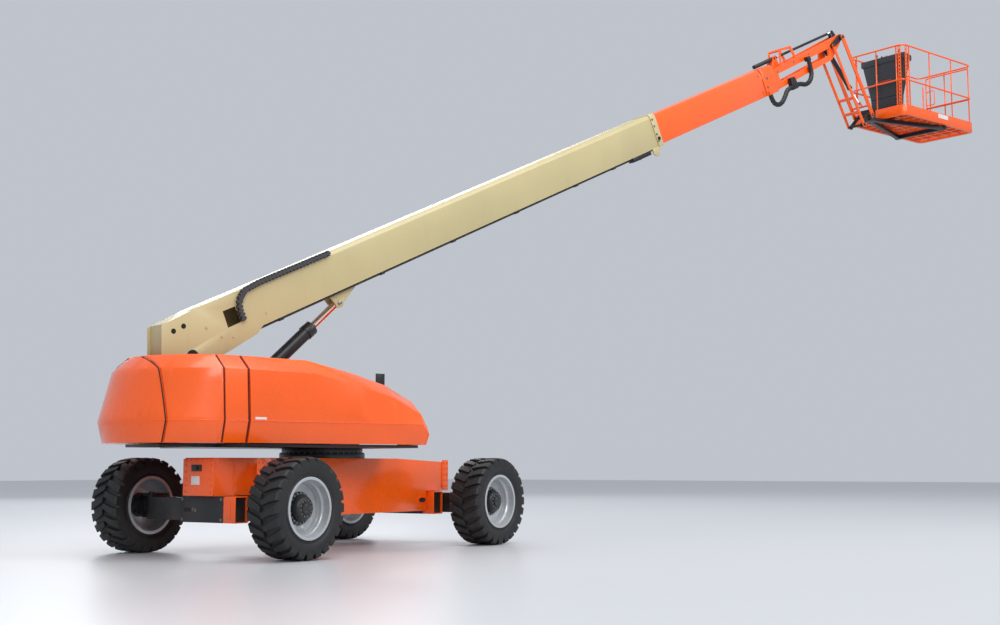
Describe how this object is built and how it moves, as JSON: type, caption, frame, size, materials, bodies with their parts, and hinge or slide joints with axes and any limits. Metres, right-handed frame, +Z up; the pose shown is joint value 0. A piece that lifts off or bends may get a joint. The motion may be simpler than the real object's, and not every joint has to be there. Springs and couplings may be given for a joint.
{
  "type": "telescopic boom lift with articulating jib",
  "caption": "Self-propelled telescopic boom lift: extending axles, slewing hooded turntable, nested boom sections, hanging parallelogram jib and a railed work platform.",
  "frame": {"origin": "on the ground under the slew axis, midway between the axles", "axes": "+X along the chassis towards end B, the end the boom points over; +Z up"},
  "size_m": [13.9993, 5.1735, 7.4242],
  "materials": {
    "orange": "gloss paint",
    "cream": "gloss paint",
    "black_metal": "satin paint",
    "tyre": "rubber",
    "rim_grey": "satin paint",
    "rod": "polished",
    "charcoal": "matte",
    "rubber": "matte"
  },
  "bodies": {
    "chassis": {"chassis_frame": "orange", "axle_housing_end_a": "black_metal", "axle_sleeves_end_a": "orange", "axle_housing_end_b": "black_metal", "axle_sleeves_end_b": "orange", "slew_ring_lower": "black_metal"},
    "beam_end_a_near_body": {"beam_end_a_near": "black_metal"},
    "knuckle_end_a_near_body": {"knuckle_end_a_near": "black_metal"},
    "wheel_end_a_near": {"tyre_end_a_near": "tyre", "rim_end_a_near": "rim_grey", "hub_end_a_near": "black_metal"},
    "beam_end_a_far_body": {"beam_end_a_far": "black_metal"},
    "knuckle_end_a_far_body": {"knuckle_end_a_far": "black_metal"},
    "wheel_end_a_far": {"tyre_end_a_far": "tyre", "rim_end_a_far": "rim_grey", "hub_end_a_far": "black_metal"},
    "beam_end_b_near_body": {"beam_end_b_near": "black_metal", "knuckle_end_b_near": "black_metal"},
    "wheel_end_b_near": {"tyre_end_b_near": "tyre", "rim_end_b_near": "rim_grey", "hub_end_b_near": "black_metal"},
    "beam_end_b_far_body": {"beam_end_b_far": "black_metal", "knuckle_end_b_far": "black_metal"},
    "wheel_end_b_far": {"tyre_end_b_far": "tyre", "rim_end_b_far": "rim_grey", "hub_end_b_far": "black_metal"},
    "turntable": {"slew_ring_upper": "black_metal", "turntable_frame": "orange", "ram_foot_pin": "black_metal", "tail_counterweight": "orange", "engine_block": "black_metal", "hydraulic_tank": "black_metal"},
    "hood_near_body": {"hood_near": "orange"},
    "hood_far_body": {"hood_far": "orange"},
    "base_boom_body": {"base_boom": "cream", "energy_chain": "black_metal"},
    "lift_barrel_body": {"lift_barrel": "black_metal"},
    "lift_rod_body": {"lift_rod": "rod"},
    "mid_boom_body": {"mid_boom": "orange"},
    "fly_boom_body": {"fly_boom": "orange", "fly_nose": "orange", "level_barrel": "black_metal", "hose_loop_lower": "rubber", "hose_loop_upper": "rubber", "hose_clamp": "black_metal"},
    "level_knuckle_body": {"level_knuckle": "orange"},
    "level_rod_body": {"level_rod": "rod"},
    "jib_front_body": {"jib_front_link": "orange"},
    "jib_rear_body": {"jib_rear_link": "orange"},
    "jib_barrel_body": {"jib_barrel": "black_metal"},
    "jib_rod_body": {"jib_rod": "rod"},
    "bracket_body": {"platform_bracket": "orange"},
    "platform_body": {"platform_swing_frame": "black_metal", "platform_floor": "orange", "platform_rails": "orange", "control_console": "charcoal"},
    "gate_body": {"platform_gate": "orange"}
  },
  "joints": [
    {"name": "extend_end_a_near", "type": "slide", "parent": "chassis", "child": "beam_end_a_near_body", "axis": [0, -1, 0], "range_m": [0, 0.28]},
    {"name": "steer_end_a_near", "type": "hinge", "parent": "beam_end_a_near_body", "child": "knuckle_end_a_near_body", "pos_m": [-1.524, -0.888, 0.47177], "axis": [0, 0, 1], "range_deg": [-35, 35]},
    {"name": "roll_end_a_near", "type": "hinge", "parent": "knuckle_end_a_near_body", "child": "wheel_end_a_near", "pos_m": [-1.524, -1.064, 0.47177], "axis": [0, 1, 0], "continuous": true},
    {"name": "extend_end_a_far", "type": "slide", "parent": "chassis", "child": "beam_end_a_far_body", "axis": [0, 1, 0], "range_m": [0, 0.28]},
    {"name": "steer_end_a_far", "type": "hinge", "parent": "beam_end_a_far_body", "child": "knuckle_end_a_far_body", "pos_m": [-1.524, 0.888, 0.47177], "axis": [0, 0, 1], "range_deg": [-35, 35]},
    {"name": "roll_end_a_far", "type": "hinge", "parent": "knuckle_end_a_far_body", "child": "wheel_end_a_far", "pos_m": [-1.524, 1.064, 0.47177], "axis": [0, 1, 0], "continuous": true},
    {"name": "extend_end_b_near", "type": "slide", "parent": "chassis", "child": "beam_end_b_near_body", "axis": [0, -1, 0], "range_m": [0, 0.28]},
    {"name": "roll_end_b_near", "type": "hinge", "parent": "beam_end_b_near_body", "child": "wheel_end_b_near", "pos_m": [1.524, -1.064, 0.47177], "axis": [0, 1, 0], "continuous": true},
    {"name": "extend_end_b_far", "type": "slide", "parent": "chassis", "child": "beam_end_b_far_body", "axis": [0, 1, 0], "range_m": [0, 0.28]},
    {"name": "roll_end_b_far", "type": "hinge", "parent": "beam_end_b_far_body", "child": "wheel_end_b_far", "pos_m": [1.524, 1.064, 0.47177], "axis": [0, 1, 0], "continuous": true},
    {"name": "slew", "type": "hinge", "parent": "chassis", "child": "turntable", "pos_m": [0, 0, 1.04], "axis": [0, 0, 1], "continuous": true},
    {"name": "hood_near_open", "type": "hinge", "parent": "turntable", "child": "hood_near_body", "pos_m": [-1.44336, 0.03105, 1.89], "axis": [-0.9613, 0.2756, 0], "range_deg": [0, 55]},
    {"name": "hood_far_open", "type": "hinge", "parent": "turntable", "child": "hood_far_body", "pos_m": [-1.24049, 0.73853, 1.89], "axis": [0.9613, -0.2756, 0], "range_deg": [0, 55]},
    {"name": "boom_lift", "type": "hinge", "parent": "turntable", "child": "base_boom_body", "pos_m": [-1.54571, 0.44322, 1.928], "axis": [-0.2756, -0.9613, 0], "range_deg": [-25.1, 49.9]},
    {"name": "lift_barrel_swing", "type": "hinge", "parent": "turntable", "child": "lift_barrel_body", "pos_m": [-1.33327, 0.38231, 1.2], "axis": [-0.2756, -0.9613, 0], "range_deg": [-20.31, 40.27]},
    {"name": "lift_rod_slide", "type": "slide", "parent": "lift_barrel_body", "child": "lift_rod_body", "axis": [0.7122, -0.2042, 0.6716], "range_m": [-0.2666, 0.527]},
    {"name": "mid_slide", "type": "slide", "parent": "base_boom_body", "child": "mid_boom_body", "axis": [0.8705, -0.2496, 0.4242], "range_m": [-1.84, 3.76]},
    {"name": "fly_slide", "type": "slide", "parent": "mid_boom_body", "child": "fly_boom_body", "axis": [0.8705, -0.2496, 0.4242], "range_m": [0, 5.6]},
    {"name": "level_pivot", "type": "hinge", "parent": "fly_boom_body", "child": "level_knuckle_body", "pos_m": [8.67431, -2.48732, 7.3125], "axis": [-0.2756, -0.9613, 0], "range_deg": [-50, 25.2]},
    {"name": "jib_lift", "type": "hinge", "parent": "level_knuckle_body", "child": "jib_front_body", "pos_m": [8.67431, -2.48732, 7.3125], "axis": [-0.2756, -0.9613, 0], "range_deg": [-8, 77]},
    {"name": "jib_rear_swing", "type": "hinge", "parent": "level_knuckle_body", "child": "jib_rear_body", "pos_m": [8.48206, -2.43219, 7.1365], "axis": [-0.2756, -0.9613, 0], "range_deg": [-8.1, 77.1]},
    {"name": "jib_foot_level", "type": "hinge", "parent": "jib_front_body", "child": "bracket_body", "pos_m": [9.35149, -2.6815, 6.21517], "axis": [-0.2756, -0.9613, 0], "range_deg": [-77.1, 8.1]},
    {"name": "platform_turn", "type": "hinge", "parent": "bracket_body", "child": "platform_body", "pos_m": [9.50529, -2.7256, 6.21517], "axis": [0, 0, 1], "range_deg": [-90, 90]},
    {"name": "level_rod_slide", "type": "slide", "parent": "fly_boom_body", "child": "level_rod_body", "axis": [0.8633, -0.2476, 0.4398], "range_m": [-0.0515, 0.0994]},
    {"name": "jib_barrel_swing", "type": "hinge", "parent": "level_knuckle_body", "child": "jib_barrel_body", "pos_m": [8.48206, -2.43219, 7.1365], "axis": [-0.2756, -0.9613, 0], "range_deg": [-7.27, 69.13]},
    {"name": "jib_rod_slide", "type": "slide", "parent": "jib_barrel_body", "child": "jib_rod_body", "axis": [0.702, -0.2013, -0.6831], "range_m": [-0.0308, 0.2708]},
    {"name": "gate_swing", "type": "hinge", "parent": "platform_body", "child": "gate_body", "pos_m": [11.33465, -2.73833, 6.71517], "axis": [0, 0, 1], "range_deg": [0, 90]}
  ],
  "couplings": [
    {"joint": "lift_barrel_swing", "follows": "boom_lift", "ratio": 0.805},
    {"joint": "lift_rod_slide", "follows": "boom_lift", "m_per_rad": 0.60161},
    {"joint": "level_pivot", "follows": "boom_lift", "ratio": -1},
    {"joint": "level_rod_slide", "follows": "boom_lift", "m_per_rad": 0.11071},
    {"joint": "jib_rear_swing", "follows": "jib_lift", "ratio": 1},
    {"joint": "jib_foot_level", "follows": "jib_lift", "ratio": -1},
    {"joint": "jib_barrel_swing", "follows": "jib_lift", "ratio": 0.89652},
    {"joint": "jib_rod_slide", "follows": "jib_lift", "m_per_rad": 0.19928}
  ]
}
